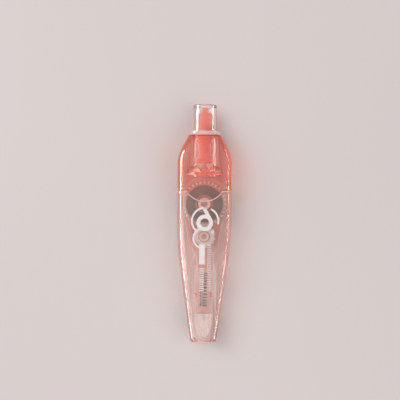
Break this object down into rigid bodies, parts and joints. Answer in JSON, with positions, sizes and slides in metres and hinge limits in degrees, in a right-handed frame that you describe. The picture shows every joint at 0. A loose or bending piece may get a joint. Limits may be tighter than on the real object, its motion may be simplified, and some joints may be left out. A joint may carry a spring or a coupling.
{
  "type": "push-button correction tape roller",
  "caption": "Pen-shaped push-button correction tape with a see-through barrel, a pull-off cover, geared reels in a refill that slides out and a press roller tip.",
  "frame": {"origin": "middle of the length and width, on the surface that the pen lies on", "axes": "+Y along the pen from the tip to the button, +Z out of the front, X across"},
  "size_m": [0.0298, 0.131, 0.02],
  "materials": {
    "barrel_clear": "clear pale pink moulded styrene, glossy",
    "cover_coral": "clear coral moulded styrene, glossy",
    "collar_pale": "pale pink moulded ring, glossy",
    "coral_deep": "clear deep coral moulded tube",
    "button_clear": "clear moulded button, glossy",
    "core_coral": "coral moulded plastic, slightly see-through",
    "spring_steel": "dark spring steel wire",
    "refill_pink": "see-through pink moulded frame",
    "strip_clear": "clear moulded strip",
    "cap_pale": "pale moulded snap cap",
    "gear_pink": "pink moulded gear, slightly see-through",
    "clutch_rubber": "red-brown rubber friction ring",
    "core_rosy": "red-brown moulded core",
    "core_white": "white moulded core",
    "tape_white": "white correction coating on its carrier, wound edge grey",
    "carrier_film": "used carrier film, translucent",
    "tip_cream": "cream moulded tip, slightly see-through",
    "axle_steel": "ground steel pin"
  },
  "bodies": {
    "barrel_body": {"barrel": "barrel_clear", "spring_stop": "refill_pink", "return_spring": "spring_steel"},
    "cover_body": {"upper_cover": "cover_coral", "collar_ring": "collar_pale", "guide_sleeve": "coral_deep"},
    "button_body": {"push_button": "button_clear", "button_core": "core_coral"},
    "rotor_body": {"cam_rotor": "core_coral"},
    "refill_body": {"refill_frame": "refill_pink", "neck_cover": "strip_clear", "neck_rivets": "core_coral", "reel_caps": "cap_pale", "tip_holder": "tip_cream", "roller_axle": "axle_steel", "tape_out": "tape_white", "tape_return": "carrier_film"},
    "supply_reel": {"supply_gear": "gear_pink", "clutch_ring": "clutch_rubber", "supply_core": "core_rosy", "tape_roll": "tape_white"},
    "take_up_reel": {"take_up_gear": "gear_pink", "take_up_clutch": "clutch_rubber", "take_up_spool": "core_white", "take_up_tape": "carrier_film"},
    "roller_body": {"press_roller": "tip_cream"}
  },
  "joints": [
    {"name": "cover_pull", "type": "slide", "parent": "barrel_body", "child": "cover_body", "axis": [0, 1, 0], "range_m": [0, 0.03]},
    {"name": "button_press", "type": "slide", "parent": "cover_body", "child": "button_body", "axis": [0, -1, 0], "range_m": [0, 0.009], "stiffness_N_per_m": 400},
    {"name": "rotor_turn", "type": "hinge", "parent": "button_body", "child": "rotor_body", "pos_m": [0, 0.028, 0.01], "axis": [0, 1, 0], "range_deg": [0, 45]},
    {"name": "refill_slide", "type": "slide", "parent": "barrel_body", "child": "refill_body", "axis": [0, -1, 0], "range_m": [0, 0.009], "deforming": ["return_spring"]},
    {"name": "supply_spin", "type": "hinge", "parent": "refill_body", "child": "supply_reel", "pos_m": [0, 0.01084, 0.01], "axis": [0, 0, 1], "continuous": true},
    {"name": "take_up_spin", "type": "hinge", "parent": "refill_body", "child": "take_up_reel", "pos_m": [0, -0.00716, 0.01], "axis": [0, 0, 1], "continuous": true},
    {"name": "roller_spin", "type": "hinge", "parent": "refill_body", "child": "roller_body", "pos_m": [0, -0.06185, 0.01], "axis": [0, 0, 1], "continuous": true}
  ],
  "couplings": [
    {"joint": "rotor_turn", "follows": "button_press", "rad_per_m": 87.26},
    {"joint": "refill_slide", "follows": "button_press", "ratio": 1},
    {"joint": "take_up_spin", "follows": "supply_spin", "ratio": -2},
    {"joint": "roller_spin", "follows": "supply_spin", "ratio": 7.5}
  ]
}
